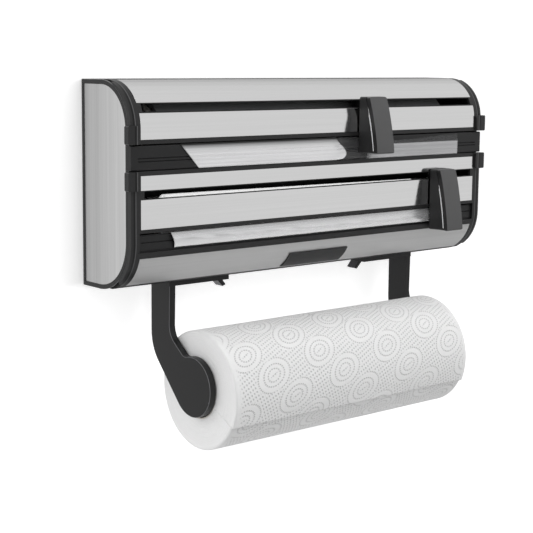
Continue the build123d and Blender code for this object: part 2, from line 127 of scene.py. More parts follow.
def brushed_grain():
    """Long fine scratches left by a brushing belt: a tone about 1 and a height."""
    g, i, o = new_group(
        "brushed_grain",
        [("Position", VEC, None), ("Stretch", VEC, (6, 900, 900)), ("Contrast", NUM, 0.1)],
        [("Tone", NUM), ("Height", NUM)],
    )
    scaled = add_node(g, "ShaderNodeVectorMath", operation="MULTIPLY")
    g.links.new(i.outputs["Position"], scaled.inputs[0])
    g.links.new(i.outputs["Stretch"], scaled.inputs[1])
    fine = add_node(g, "ShaderNodeTexNoise", Scale=1.0, Detail=3.0, Roughness=0.65)
    g.links.new(scaled.outputs[0], fine.inputs["Vector"])
    wide = add_node(g, "ShaderNodeTexNoise", Scale=0.18, Detail=2.0, Roughness=0.5)
    g.links.new(scaled.outputs[0], wide.inputs["Vector"])
    both = maths(g, "ADD", maths(g, "MULTIPLY", fine.outputs["Fac"], 0.6),
                 maths(g, "MULTIPLY", wide.outputs["Fac"], 0.4))
    centred = maths(g, "SUBTRACT", both, 0.5)
    tone = maths(g, "ADD", maths(g, "MULTIPLY", centred, i.outputs["Contrast"]), 1.0)
    g.links.new(tone, o.inputs["Tone"])
    g.links.new(fine.outputs["Fac"], o.inputs["Height"])
    return g


def moulded_skin():
    """The fine spark-eroded grain of moulded plastic, with faint handling marks."""
    g, i, o = new_group(
        "moulded_skin",
        [("Position", VEC, None), ("Grain", NUM, 2600.0), ("Marks", NUM, 0.25)],
        [("Height", NUM), ("Tone", NUM), ("Roughness", NUM)],
    )
    grain = add_node(g, "ShaderNodeTexNoise", Detail=2.0, Roughness=0.6)
    g.links.new(i.outputs["Position"], grain.inputs["Vector"])
    g.links.new(i.outputs["Grain"], grain.inputs["Scale"])
    cloud = add_node(g, "ShaderNodeTexNoise", Scale=38.0, Detail=5.0, Roughness=0.65)
    g.links.new(i.outputs["Position"], cloud.inputs["Vector"])
    marks = maths(g, "MULTIPLY", maths(g, "SUBTRACT", cloud.outputs["Fac"], 0.5), i.outputs["Marks"])
    g.links.new(grain.outputs["Fac"], o.inputs["Height"])
    g.links.new(maths(g, "ADD", marks, 1.0), o.inputs["Tone"])
    g.links.new(maths(g, "ADD", marks, 1.0), o.inputs["Roughness"])
    return g


def painted_edge_highlight():
    """Painted highlight: paler where a rounded edge turns between facing sideways and facing forward."""
    g, i, o = new_group("painted_edge_highlight", [("Sideways", NUM, 0.0), ("Amount", NUM, 1.0)], [("Tone", NUM)])
    turn = maths(g, "MULTIPLY", spread(g, i.outputs["Sideways"], 0.40, 0.55),
                 spread(g, i.outputs["Sideways"], 0.93, 0.80))
    g.links.new(maths(g, "ADD", maths(g, "MULTIPLY", turn, maths(g, "SUBTRACT", i.outputs["Amount"], 1.0)), 1.0),
                o.inputs["Tone"])
    return g


BRUSHED = brushed_grain()
SKIN = moulded_skin()
EDGE_HIGHLIGHT = painted_edge_highlight()


def blank_material(name):
    """A material with only its Principled shader and output, and the Object coordinates."""
    m = bpy.data.materials.new(name)
    m.use_nodes = True
    t = m.node_tree
    t.nodes.clear()
    out = t.nodes.new("ShaderNodeOutputMaterial")
    bsdf = t.nodes.new("ShaderNodeBsdfPrincipled")
    t.links.new(bsdf.outputs[0], out.inputs["Surface"])
    place = t.nodes.new("ShaderNodeTexCoord").outputs["Object"]
    return m, t, bsdf, place


def tinted(t, colour, tone):
    """A colour multiplied by a grey tone."""
    n = t.nodes.new("ShaderNodeMix")
    n.data_type = "RGBA"
    n.blend_type = "MULTIPLY"
    n.inputs["Factor"].default_value = 1.0
    n.inputs["A"].default_value = (*colour, 1)
    grey = t.nodes.new("ShaderNodeCombineColor")
    for k in range(3):
        t.links.new(tone, grey.inputs[k])
    t.links.new(grey.outputs[0], n.inputs["B"])
    return n.outputs["Result"]


def darkened(t, colour, tone):
    """A colour from another node multiplied by a grey tone."""
    n = t.nodes.new("ShaderNodeMix")
    n.data_type = "RGBA"
    n.blend_type = "MULTIPLY"
    n.inputs["Factor"].default_value = 1.0
    t.links.new(colour, n.inputs["A"])
    grey = t.nodes.new("ShaderNodeCombineColor")
    for k in range(3):
        t.links.new(tone, grey.inputs[k])
    t.links.new(grey.outputs[0], n.inputs["B"])
    return n.outputs["Result"]


def with_painted_edge_highlight(t, colour, amount):
    """The colour made paler on the rounded edges, as a painted highlight."""
    facing = t.nodes.new("ShaderNodeSeparateXYZ")
    t.links.new(t.nodes.new("ShaderNodeTexCoord").outputs["Normal"], facing.inputs[0])
    edge = add_node(t, "ShaderNodeGroup", node_tree=EDGE_HIGHLIGHT, Amount=amount)
    t.links.new(maths(t, "ABSOLUTE", facing.outputs["X"]), edge.inputs["Sideways"])
    return darkened(t, colour, edge.outputs["Tone"])


def bump(t, bsdf, height, strength, distance):
    n = t.nodes.new("ShaderNodeBump")
    n.inputs["Strength"].default_value = strength
    n.inputs["Distance"].default_value = distance
    t.links.new(height, n.inputs["Height"])
    t.links.new(n.outputs[0], bsdf.inputs["Normal"])


def plastic(name, colour, roughness, grain=2600.0, depth=0.12, lines=(), painted_groove_shade=(), edge=3.0):
    """Moulded plastic with grain, faint marks and a painted highlight on its rounded edges; lines stand at
    distances from the middle and further lines at heights, each as (where, half width, tone): pale ones are
    painted highlights and dark ones painted shade in grooves."""
    m, t, bsdf, place = blank_material(name)
    skin = add_node(t, "ShaderNodeGroup", node_tree=SKIN, Grain=grain)
    t.links.new(place, skin.inputs["Position"])
    # rounded edges painted paler as a highlight
    colour_out = with_painted_edge_highlight(t, tinted(t, colour, skin.outputs["Tone"]), edge)
    height = skin.outputs["Height"]
    if lines or painted_groove_shade:
        at = t.nodes.new("ShaderNodeSeparateXYZ")
        t.links.new(place, at.inputs[0])
        from_middle = maths(t, "ABSOLUTE", at.outputs["X"])
        # pale lines paint a highlight, dark lines paint the shade in the grooves between parts
        for value, rows in ((from_middle, lines), (at.outputs["Z"], painted_groove_shade)):
            for where, half, tone in rows:
                off = maths(t, "ABSOLUTE", maths(t, "SUBTRACT", value, where))
                colour_out = darkened(t, colour_out, spread(t, off, half, half + 0.0002, tone, 1.0))
    t.links.new(colour_out, bsdf.inputs["Base Color"])
    t.links.new(maths(t, "MULTIPLY", skin.outputs["Roughness"], roughness), bsdf.inputs["Roughness"])
    bsdf.inputs["Specular IOR Level"].default_value = 0.35
    bump(t, bsdf, height, depth, 0.0002)
    return m


def ramp(t, value, stops):
    """A tone that follows a few stops between 0 and 1; tones up to 1.25."""
    n = t.nodes.new("ShaderNodeValToRGB")
    n.color_ramp.interpolation = "EASE"
    while len(n.color_ramp.elements) < len(stops):
        n.color_ramp.elements.new(0.5)
    for e, (where, tone) in zip(n.color_ramp.elements, stops):
        e.position = where
        e.color = (tone / 1.25,) * 3 + (1,)
    t.links.new(value, n.inputs[0])
    return maths(t, "MULTIPLY", n.outputs[0], 1.25)


def brushed_steel(name, colour, roughness, stretch, contrast, shade=None, relief=0.10, edge=1.0):
    """Brushed stainless sheet; stretch sets which way the scratches run, shade paints light and shade as a soft
    tone along an axis, and edge paints a highlight on the rounded edges.
    """
    m, t, bsdf, place = blank_material(name)
    grain = add_node(t, "ShaderNodeGroup", node_tree=BRUSHED, Contrast=contrast, Stretch=stretch)
    t.links.new(place, grain.inputs["Position"])
    tone = grain.outputs["Tone"]
    if shade:
        axis, low, high, stops = shade
        at = t.nodes.new("ShaderNodeSeparateXYZ")
        t.links.new(place, at.inputs[0])
        tone = maths(t, "MULTIPLY", tone, ramp(t, spread(t, at.outputs[axis], low, high), stops))
    t.links.new(with_painted_edge_highlight(t, tinted(t, colour, tone), edge), bsdf.inputs["Base Color"])
    rough = spread(t, grain.outputs["Height"], 0.3, 0.7, roughness * 0.8, roughness * 1.25)
    t.links.new(rough, bsdf.inputs["Roughness"])
    bsdf.inputs["Metallic"].default_value = 1.0
    bump(t, bsdf, grain.outputs["Height"], relief, 0.00008)
    return m


PLASTIC_HOUSING = plastic("black housing plastic", (0.013, 0.013, 0.0135), 0.42)
# near each end of the cap and flap: a pale line painted as a highlight and a dark line painted as groove shade
PLASTIC_CAP = plastic("black end cap plastic", (0.018, 0.018, 0.0185), 0.42,
                      lines=((0.1827, 0.0003, 10.0), (0.1815, 0.0006, 0.03)))
PLASTIC_FLAP = plastic("black flap plastic", (0.018, 0.018, 0.0185), 0.40,
                       lines=((0.1806, 0.0006, 0.03), (0.1793, 0.00025, 5.0)))
# a dark line across the plate painted as the shade in a groove
PLASTIC_PLATE = plastic("black plate plastic", (0.013, 0.013, 0.0135), 0.42,
                        painted_groove_shade=((-0.0478, 0.0004, 0.05),))
PLASTIC_KNOB = plastic("dark knob plastic", (0.018, 0.018, 0.0185), 0.38)
PLASTIC_COVER = plastic("grey knob cover plastic", (0.078, 0.078, 0.079), 0.45)
# pale plastic for strips that paint a highlight
PLASTIC_PAINTED_HIGHLIGHT = plastic("pale seam plastic", (0.62, 0.62, 0.63), 0.35)
# the arms carry a strong painted highlight on their rounded edges
PLASTIC_ARM = plastic("dark arm plastic", (0.009, 0.009, 0.0095), 0.36, edge=18.0)
PLASTIC_BLACK = plastic("plain black plastic", (0.004, 0.004, 0.004), 0.5)
STEEL_FRONT = brushed_steel("steel brushed along", (0.90, 0.90, 0.90), 0.10, (5, 620, 620), 0.17, relief=0.03)
# the curved top steel: a painted reflection, darker in a band towards its top
STEEL_TOP = brushed_steel("curved steel brushed along", (0.88, 0.88, 0.88), 0.22, (5, 620, 620), 0.16,
                          shade=("Z", 0.0603, 0.0763,
                                 ((0, 1.0), (0.25, 1.02), (0.62, 1.0), (0.84, 0.86),
                                  (0.93, 0.66), (0.98, 0.62), (1, 0.5))))
# the lower curved steel: a darker base colour as painted shade, and painted shade darker towards its upper edge
STEEL_BOTTOM = brushed_steel("lower curved steel", (0.72, 0.72, 0.72), 0.55, (5, 620, 620), 0.14,
                             shade=("Z", -0.0725, -0.0505, ((0, 1.0), (0.3, 0.98), (0.7, 0.90), (1, 0.86))))
# the side steel: a darker base colour, painted light towards the front and painted shade towards the back, and a
# painted highlight on its rounded edges
STEEL_SIDE = brushed_steel("steel brushed upright", (0.66, 0.66, 0.66), 0.36, (700, 700, 7), 0.55,
                           shade=("Y", -0.058, 0.0,
                                  ((0, 1.24), (0.15, 1.18), (0.4, 1.10), (0.75, 0.98), (1, 0.80))),
                           edge=1.5)
STEEL_BLADE = brushed_steel("ground blade steel", (0.75, 0.75, 0.76), 0.2, (40, 900, 900), 0.1)


def card():
    """Spirally wound grey-brown card."""
    m, t, bsdf, place = blank_material("wound card")
    wave = add_node(t, "ShaderNodeTexWave", Scale=22.0, Distortion=0.6, Detail=2.0)
    turned = add_node(t, "ShaderNodeMapping")
    turned.inputs["Rotation"].default_value = (0, 0, 0.6)
    t.links.new(place, turned.inputs["Vector"])
    t.links.new(turned.outputs[0], wave.inputs["Vector"])
    fibre = add_node(t, "ShaderNodeTexNoise", Scale=900.0, Detail=4.0)
    t.links.new(place, fibre.inputs["Vector"])
    tone = maths(t, "ADD", spread(t, wave.outputs["Fac"], 0, 0.15, 0.82, 1.0),
                 spread(t, fibre.outputs["Fac"], 0.3, 0.7, -0.1, 0.1))
    t.links.new(tinted(t, (0.60, 0.57, 0.53), tone), bsdf.inputs["Base Color"])
    bsdf.inputs["Roughness"].default_value = 0.85
    bump(t, bsdf, fibre.outputs["Fac"], 0.2, 0.0003)
    return m


def stretch_lines(name, colour, contrast, lit, cover, roughness, metallic):
    """Thin film or foil: lines along its length, a tone by height that paints light and shade, and a see-through
    amount by height and length.
    """
    m, t, bsdf, place = blank_material(name)
    grain = add_node(t, "ShaderNodeGroup", node_tree=BRUSHED, Contrast=contrast, Stretch=(4, 420, 420))
    t.links.new(place, grain.inputs["Position"])
    at = t.nodes.new("ShaderNodeSeparateXYZ")
    t.links.new(place, at.inputs[0])
    low, high, stops = lit
    # the tone by height paints light and shade
    height = ramp(t, spread(t, at.outputs["Z"], low, high), stops)
    tone = maths(t, "MULTIPLY", grain.outputs["Tone"], height)
    t.links.new(tinted(t, colour, tone), bsdf.inputs["Base Color"])
    if cover:
        x_from, x_to, z_from, z_to, thin, thick = cover
        along = spread(t, at.outputs["X"], x_from, x_to)
        down = spread(t, at.outputs["Z"], z_from, z_to)
        amount = maths(t, "ADD", maths(t, "MULTIPLY", maths(t, "MULTIPLY", along, down), thick - thin), thin)
        lines = spread(t, grain.outputs["Tone"], 0.8, 1.2, -0.10, 0.10)
        t.links.new(maths(t, "ADD", amount, lines, clamp=True), bsdf.inputs["Alpha"])
    bsdf.inputs["Metallic"].default_value = metallic
    t.links.new(spread(t, grain.outputs["Height"], 0.3, 0.7, roughness * 0.8, roughness * 1.3),
                bsdf.inputs["Roughness"])
    bump(t, bsdf, grain.outputs["Height"], 0.35, 0.0004)
    return m


def paper_emboss():
    """Rows of dots pressed in oval rings round each motif, on a slanted lattice of motifs."""
    g, i, o = new_group(
        "paper_emboss",
        [("Along", NUM, 0.0), ("Round", NUM, 0.0), ("Dot", NUM, 0.5)],
        [("Dots", NUM)],
    )
    # lattice steps in mm: one step right and down, one step right and up
    ax, ay, bx, by = 20.0, -18.5, 50.0, 12.7
    det = ax * by - ay * bx
    x = maths(g, "ADD", i.outputs["Along"], 86.0)
    y = maths(g, "ADD", i.outputs["Round"], -15.3)
    s1 = maths(g, "SUBTRACT", maths(g, "MULTIPLY", x, by / det), maths(g, "MULTIPLY", y, bx / det))
    t1 = maths(g, "SUBTRACT", maths(g, "MULTIPLY", y, ax / det), maths(g, "MULTIPLY", x, ay / det))
    s0 = maths(g, "SUBTRACT", maths(g, "FRACT", maths(g, "ADD", s1, 0.5)), 0.5)
    t0 = maths(g, "SUBTRACT", maths(g, "FRACT", maths(g, "ADD", t1, 0.5)), 0.5)
    # back to mm, in axes along and across the oval
    px = maths(g, "ADD", maths(g, "MULTIPLY", s0, ax), maths(g, "MULTIPLY", t0, bx))
    py = maths(g, "ADD", maths(g, "MULTIPLY", s0, ay), maths(g, "MULTIPLY", t0, by))
    c, d = math.cos(math.radians(27)), math.sin(math.radians(27))
    u = maths(g, "ADD", maths(g, "MULTIPLY", px, c), maths(g, "MULTIPLY", py, d))
    v = maths(g, "SUBTRACT", maths(g, "MULTIPLY", py, c), maths(g, "MULTIPLY", px, d))
    v = maths(g, "MULTIPLY", v, 1.45)
    r = maths(g, "SQRT", maths(g, "ADD", maths(g, "MULTIPLY", u, u), maths(g, "MULTIPLY", v, v)))
    angle = maths(g, "ARCTAN2", v, u)
    dots = None
    for radius in (6.4, 11.0, 17.0):
        count = round(2 * math.pi * radius / 2.5)
        off = maths(g, "SUBTRACT", r, radius)
        turn = maths(g, "MULTIPLY", angle, count / (2 * math.pi))
        side = maths(g, "MULTIPLY", maths(g, "SUBTRACT", maths(g, "FRACT", turn), 0.5), 2.5)
        away = maths(g, "SQRT", maths(g, "ADD", maths(g, "MULTIPLY", off, off), maths(g, "MULTIPLY", side, side)))
        dots = away if dots is None else maths(g, "MINIMUM", dots, away)
    # short line of dots down the middle of each motif
    side = maths(g, "MULTIPLY", maths(g, "SUBTRACT", maths(g, "FRACT", maths(g, "DIVIDE", u, 2.5)), 0.5), 2.5)
    away = maths(g, "SQRT", maths(g, "ADD", maths(g, "MULTIPLY", v, v), maths(g, "MULTIPLY", side, side)))
    past = maths(g, "MAXIMUM", maths(g, "SUBTRACT", maths(g, "ABSOLUTE", u), 3.2), 0.0)
    dots = maths(g, "MINIMUM", dots, maths(g, "ADD", away, past))
    # slanting rows of dots in the ground between the motifs
    gu = maths(g, "DIVIDE", maths(g, "ADD", x, maths(g, "MULTIPLY", y, 0.45)), 3.0)
    gv = maths(g, "DIVIDE", maths(g, "SUBTRACT", y, maths(g, "MULTIPLY", x, 0.45)), 3.4)
    row = maths(g, "SUBTRACT", maths(g, "FRACT", gu), 0.5)
    col = maths(g, "SUBTRACT", maths(g, "FRACT", gv), 0.5)
    away = maths(g, "MULTIPLY", maths(g, "SQRT", maths(
        g, "ADD", maths(g, "MULTIPLY", row, row), maths(g, "MULTIPLY", col, col))), 3.2)
    inside = maths(g, "MULTIPLY", maths(g, "LESS_THAN", r, 19.0), 9.0)
    dots = maths(g, "MINIMUM", dots, maths(g, "ADD", away, inside))
    near = g.nodes.new("ShaderNodeMapRange")
    near.interpolation_type = "SMOOTHSTEP"
    g.links.new(dots, near.inputs["Value"])
    g.links.new(maths(g, "MULTIPLY", i.outputs["Dot"], 0.45), near.inputs["From Min"])
    g.links.new(maths(g, "MULTIPLY", i.outputs["Dot"], 1.35), near.inputs["From Max"])
    near.inputs["To Min"].default_value = 1.0
    near.inputs["To Max"].default_value = 0.0
    g.links.new(near.outputs["Result"], o.inputs["Dots"])
    return g


def kitchen_paper():
    """Soft white paper: pressed dots on the outside, wound layers on the ends."""
    m, t, bsdf, place = blank_material("kitchen paper")
    at = t.nodes.new("ShaderNodeSeparateXYZ")
    t.links.new(place, at.inputs[0])
    y = maths(t, "ADD", at.outputs["Y"], -PAPER_AXIS[0])
    z = maths(t, "ADD", at.outputs["Z"], -PAPER_AXIS[1])
    radius = maths(t, "SQRT", maths(t, "ADD", maths(t, "MULTIPLY", y, y), maths(t, "MULTIPLY", z, z)))
    # counted from the loose edge, so that the pattern only breaks there
    angle = maths(t, "ARCTAN2", z, maths(t, "MULTIPLY", y, -1.0))
    turns = maths(t, "FRACT", maths(t, "DIVIDE", maths(t, "ADD", angle, EDGE_ANGLE), 2 * math.pi))
    angle = maths(t, "ADD", maths(t, "MULTIPLY", turns, 2 * math.pi), -EDGE_ANGLE)
    emboss = add_node(t, "ShaderNodeGroup", node_tree=paper_emboss(), Dot=0.80)
    t.links.new(maths(t, "MULTIPLY", at.outputs["X"], 1000.0), emboss.inputs["Along"])
    t.links.new(maths(t, "MULTIPLY", angle, PAPER_R * 1000), emboss.inputs["Round"])
    outside = maths(t, "MULTIPLY", spread(t, radius, PAPER_R - 0.0032, PAPER_R - 0.0022),
                    spread(t, maths(t, "ABSOLUTE", at.outputs["X"]), 0.1165, 0.1205, 1.0, 0.0))
    dots = maths(t, "MULTIPLY", emboss.outputs["Dots"], outside)
    fibre = add_node(t, "ShaderNodeTexNoise", Scale=1500.0, Detail=4.0, Roughness=0.7)
    t.links.new(place, fibre.inputs["Vector"])
    cloud = add_node(t, "ShaderNodeTexNoise", Scale=90.0, Detail=3.0, Roughness=0.6)
    t.links.new(place, cloud.inputs["Vector"])
    layers = add_node(t, "ShaderNodeTexNoise", Scale=1.0, Detail=2.0)
    spun = t.nodes.new("ShaderNodeCombineXYZ")
    t.links.new(maths(t, "MULTIPLY", radius, 2600.0), spun.inputs["X"])
    t.links.new(maths(t, "MULTIPLY", angle, 1.5), spun.inputs["Y"])
    t.links.new(spun.outputs[0], layers.inputs["Vector"])
    ends = maths(t, "MULTIPLY", maths(t, "SUBTRACT", 1.0, outside), 0.7)
    height = maths(t, "SUBTRACT",
                   maths(t, "ADD", maths(t, "MULTIPLY", fibre.outputs["Fac"], 0.16),
                         maths(t, "ADD", maths(t, "MULTIPLY", cloud.outputs["Fac"], 0.5),
                               maths(t, "MULTIPLY", layers.outputs["Fac"], ends))),
                   maths(t, "MULTIPLY", dots, 0.8))
    # the pressed dots are also painted darker, as shade in their hollows
    tone = maths(t, "SUBTRACT", maths(t, "ADD", spread(t, fibre.outputs["Fac"], 0.3, 0.7, 0.965, 1.01),
                                      spread(t, layers.outputs["Fac"], 0.35, 0.65, -0.02, 0.02)),
                 maths(t, "MULTIPLY", dots, 0.27))
    t.links.new(tinted(t, (0.84, 0.84, 0.84), tone), bsdf.inputs["Base Color"])
    bsdf.inputs["Roughness"].default_value = 0.95
    bsdf.inputs["Specular IOR Level"].default_value = 0.2
    bump(t, bsdf, height, 0.75, 0.0008)
    return m


PAPER_AXIS, PAPER_R = (-0.063, -0.1545), 0.0463
EDGE_ANGLE = math.radians(26)    # how far below the front the loose edge of the paper lies
CARD = card()
EVEN = (-1, 1, ((0, 1), (1, 1)))              # the same tone at every height
# a tone of 1.2 at every height, used as a painted glint
EVEN_PAINTED_GLINT = (-1, 1, ((0, 1.2), (1, 1.2)))
FILM_WOUND = stretch_lines("wound cling film", (0.22, 0.225, 0.23), 0.3, EVEN, None, 0.2, 0.0)
# the drawn film: painted shade towards its top, nearly black under the flap
FILM_LEFT = stretch_lines("drawn cling film", (0.86, 0.86, 0.87), 0.55,
                          (0.0125, 0.0307,
                           ((0, 1.06), (0.35, 1.04), (0.66, 0.95), (0.76, 0.78),
                            (0.84, 0.50), (0.925, 0.20), (0.95, 0.02), (1, 0.02))),
                          None, 0.30, 0.55)
# the clear film: painted shade, darker towards its top
FILM_RIGHT = stretch_lines("clear cling film", (0.55, 0.55, 0.56), 0.5,
                           (0.012, 0.031, ((0, 1.05), (0.5, 0.95), (0.62, 0.9), (1, 0.5))),
                           (0.045, 0.052, 0.0240, 0.0232, 0.05, 0.80), 0.25, 0.3)
# the foil: painted light towards the bottom and painted shade towards the top
FOIL = stretch_lines("aluminium foil", (0.92, 0.92, 0.93), 0.26,
                     (-0.0446, -0.0325,
                      ((0, 1.25), (0.05, 1.12), (0.3, 1.06), (0.55, 0.95),
                       (0.72, 0.80), (0.88, 0.62), (1, 0.36))),
                     None, 0.24, 0.75)
FOIL_WOUND = stretch_lines("wound foil", (0.95, 0.95, 0.95), 0.3, EVEN, None, 0.5, 0.25)
# the foil web in the slot is painted pale and given a faint glow, as a glint of light
FOIL_WEB_GLINT = stretch_lines("foil going down the slot, with a painted glint", (1.0, 1.0, 1.0), 0.1, EVEN_PAINTED_GLINT, None, 0.5, 0.0)
web_shader = FOIL_WEB_GLINT.node_tree.nodes["Principled BSDF"]
web_shader.inputs["Emission Color"].default_value = (1, 1, 1, 1)
web_shader.inputs["Emission Strength"].default_value = 0.35
PAPER = kitchen_paper()


# ------------------------------------------------------------------ mesh helpers
def finish_mesh(name, bm, material, body, stands_for=()):
    """Turns a bmesh into a piece that rides on a body."""
    mesh = bpy.data.meshes.new(name)
    bm.to_mesh(mesh)
    bm.free()
    piece = bpy.data.objects.new(name, mesh)
    bpy.context.collection.objects.link(piece)
    mesh.materials.append(material)
    for p in mesh.polygons:
        p.use_smooth = True
    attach(piece, body)
    if stands_for:
        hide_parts(*stands_for)
    return piece


def softened(node, material, body, width, segments=2, angle=35, painted_shade_sides=None, corners=0.0):
    """A moulded or pressed piece with the rounded edges the tool leaves; a second, darker material, if given,
    paints shade on the faces turned sideways or down.
    """
    bm = bmesh.new()
    bm.from_mesh(frame["nodes"][node].data)
    bmesh.ops.remove_doubles(bm, verts=bm.verts, dist=0.000004)
    bmesh.ops.dissolve_limit(bm, angle_limit=math.radians(0.1), verts=bm.verts, edges=bm.edges)
    if corners:
        lone = [e for e in bm.edges if len(e.link_faces) == 2 and e.calc_length() > 0.0015
                and abs((e.verts[0].co - e.verts[1].co).normalized().y) > 0.75
                and e.calc_face_angle(0.0) > math.radians(50)]
        bmesh.ops.bevel(bm, geom=lone, affect="EDGES", offset=corners * MM, segments=4, profile=0.5, material=-1)
    piece = finish_mesh(node + "_softened", bm, material, body, (node,))
    # faces turned sideways or down take the darker material as painted shade
    if painted_shade_sides:
        piece.data.materials.append(painted_shade_sides)
        for p in piece.data.polygons:
            if abs(p.normal.x) > 0.7 or p.normal.z < -0.5:
                p.material_index = 1
    mod = piece.modifiers.new("edges", "BEVEL")
    mod.width = width
    mod.segments = segments
    mod.limit_method = "ANGLE"
    mod.angle_limit = math.radians(angle)
    mod.use_clamp_overlap = True
    even = piece.modifiers.new("even shading", "WEIGHTED_NORMAL")
    even.weight = 100
    return piece


def paint(node, material):
    """Gives a carried-over CAD node its finish."""
    o = frame["nodes"][node]
    o.data.materials.clear()
    o.data.materials.append(material)


BODY_OF = {n: b for b, names in frame["record"]["behaviour"]["bodies"].items() for n in names}

FINISH = {
    "back_shell": (PLASTIC_HOUSING, 0.4), "left_end_cap": (PLASTIC_CAP, 0.3),
    "right_end_cap": (PLASTIC_CAP, 0.3), "middle_bar": (PLASTIC_HOUSING, 0.2),
    "upper_flap_frame": (PLASTIC_FLAP, 0.35), "lower_flap_frame": (PLASTIC_FLAP, 0.35),
    "foil_exit_plate": (PLASTIC_PLATE, 0.15), "nameplate": (PLASTIC_KNOB, 0.2),
    "left_side_panel": (STEEL_SIDE, 0.35), "right_side_panel": (STEEL_SIDE, 0.35),
    "upper_top_panel": (STEEL_TOP, 0.12), "upper_front_panel": (STEEL_FRONT, 0.12),
    "lower_strip": (STEEL_FRONT, 0.12), "lower_front_panel": (STEEL_FRONT, 0.12),
    "lower_bottom_panel": (STEEL_BOTTOM, 0.12),
    "upper_cutter_knob": (PLASTIC_KNOB, 0.8), "lower_cutter_knob": (PLASTIC_KNOB, 0.8),
    "upper_cutter_cover": (PLASTIC_COVER, 0.5), "lower_cutter_cover": (PLASTIC_COVER, 0.5),
    "left_arm": (PLASTIC_ARM, 0.8), "right_arm": (PLASTIC_ARM, 0.8),
}
# the knob covers' faces turned sideways or down are painted with the dark knob plastic as shade
for node, (material, width) in FINISH.items():
    softened(node, material, BODY_OF[node], width * MM, painted_shade_sides=PLASTIC_KNOB if "cover" in node else None,
             corners=2.2 if "cover" in node else 1.6 if "knob" in node else 0.0)

for node, material in {
    "upper_cutter_slider": PLASTIC_BLACK, "lower_cutter_slider": PLASTIC_BLACK,
    "upper_cutter_blade": STEEL_BLADE, "lower_cutter_blade": STEEL_BLADE,
    "film_tube": CARD, "foil_tube": CARD, "paper_tube": CARD,
}.items():
    paint(node, material)


def surface(columns, rows, place, close=False):
    """A grid of columns by rows laid over a surface; place(i, j) gives each point in mm."""
    bm = bmesh.new()
    bmesh.ops.create_grid(bm, x_segments=columns, y_segments=rows, size=0.5)
    for v in bm.verts:
        i, j = v.co.x + 0.5, v.co.y + 0.5
        v.co = Vector(place(i, j)) * MM
    if close:
        bmesh.ops.remove_doubles(bm, verts=bm.verts, dist=0.00001)
    bmesh.ops.recalc_face_normals(bm, faces=bm.faces)
    return bm


# kitchen paper: a spiral wound roll whose last sheet ends in a loose edge at the lower front
LAYER = 1.5             # step that the last turn of paper makes at its loose edge
PAPER_HOLE = 21.0       # the roll's hole, round the card tube
OUTSIDE = PAPER_R / MM


def roll_profile():
    """Outline of half a section through the roll: along X and how far out, with soft rims."""
    half, rim, inner = 123.4, 1.8, 60
    points = [(-half + 0.6 * math.sin(k / 10 * math.pi), PAPER_HOLE + k / 10 * (OUTSIDE - rim - PAPER_HOLE))
              for k in range(11)]
    for k in range(1, 9):
        a = k / 8 * math.pi / 2
        points.append((-half + rim - rim * math.cos(a), OUTSIDE - rim + rim * math.sin(a)))
    for k in range(1, inner):
        points.append((-half + rim + (2 * half - 2 * rim) * k / inner, OUTSIDE))
    mirrored = [(-x, r) for x, r in reversed(points[:19])]
    return points + mirrored


PROFILE = roll_profile()
TURNS = 220


def paper_point(i, j):
    k = i * (len(PROFILE) - 1)
    x, r = PROFILE[min(int(round(k)), len(PROFILE) - 1)]
    col = int(round(j * (TURNS + 1)))
    turned = max(0, col - 1) / TURNS
    out = (r - PAPER_HOLE) / (OUTSIDE - PAPER_HOLE)
    if col == 0:
        drop = LAYER
    else:
        drop = LAYER * turned
        lift = math.exp(-turned * 2 * math.pi / 0.22)
        drop -= 0.35 * lift * (1 + 0.5 * math.sin(x * 0.055 + 0.6))
    wave = 0.12 * math.sin(3 * turned * 2 * math.pi + x * 0.02) * math.sin(x * 0.031)
    r -= (drop + wave + 0.25) * out
    a = EDGE_ANGLE - turned * 2 * math.pi
    return x, PAPER_AXIS[0] * 1000 - r * math.cos(a), PAPER_AXIS[1] * 1000 - r * math.sin(a)


bm = surface(len(PROFILE) - 1, TURNS + 1, paper_point, close=True)
finish_mesh("kitchen_paper", bm, PAPER, "paper", ("paper_roll",))


# the wound cling film and foil: soft rims, and ends where the layers stand a little uneven
def wound_roll(node, tube, material, body, uneven):
    (x0, y0, z0), (x1, y1, z1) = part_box(node)
    (_, ty0, _), (_, ty1, _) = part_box(tube)
    half, mid = (x1 - x0) / 2 / MM, (x0 + x1) / 2 / MM
    radius, hole = (y1 - y0) / 2 / MM, (ty1 - ty0) / 2 / MM + 0.05
    axis_y, axis_z = (y0 + y1) / 2 / MM, (z0 + z1) / 2 / MM
    rim = 0.9
    side = [(-half + uneven * (0.5 + 0.5 * math.sin(k * 2.4)), hole + k / 12 * (radius - rim - hole))
            for k in range(13)]
    side += [(-half + rim * (1 - math.cos(k * 0.4)) + 0.02, radius - rim + rim * math.sin(k * 0.4))
             for k in range(1, 4)]
    along = [(-half + rim + (2 * half - 2 * rim) * k / 40, radius - 0.02) for k in range(41)]
    profile = side + along + [(-x, r) for x, r in reversed(side)] + side[:1]

    def point(i, j):
        x, r = profile[min(int(round(i * (len(profile) - 1))), len(profile) - 1)]
        turn = j * 2 * math.pi
        if r > radius - 0.1:
            r -= 0.04 + 0.03 * math.sin(5 * turn + x * 0.05)
        return mid + x, axis_y - r * math.cos(turn), axis_z - r * math.sin(turn)
    bm = surface(len(profile) - 1, 120, point, close=True)
    finish_mesh(node + "_wound", bm, material, body, (node,))


wound_roll("film_roll", "film_tube", FILM_WOUND, "cling_film", 0.35)
wound_roll("foil_roll", "foil_tube", FOIL_WOUND, "foil", 0.6)


def thin_sheet(name, bm, material, body, stands_for, thickness):
    """A film or foil with its thickness."""
    piece = finish_mesh(name, bm, material, body, (stands_for,))
    solid = piece.modifiers.new("thickness", "SOLIDIFY")
    solid.thickness = thickness * MM


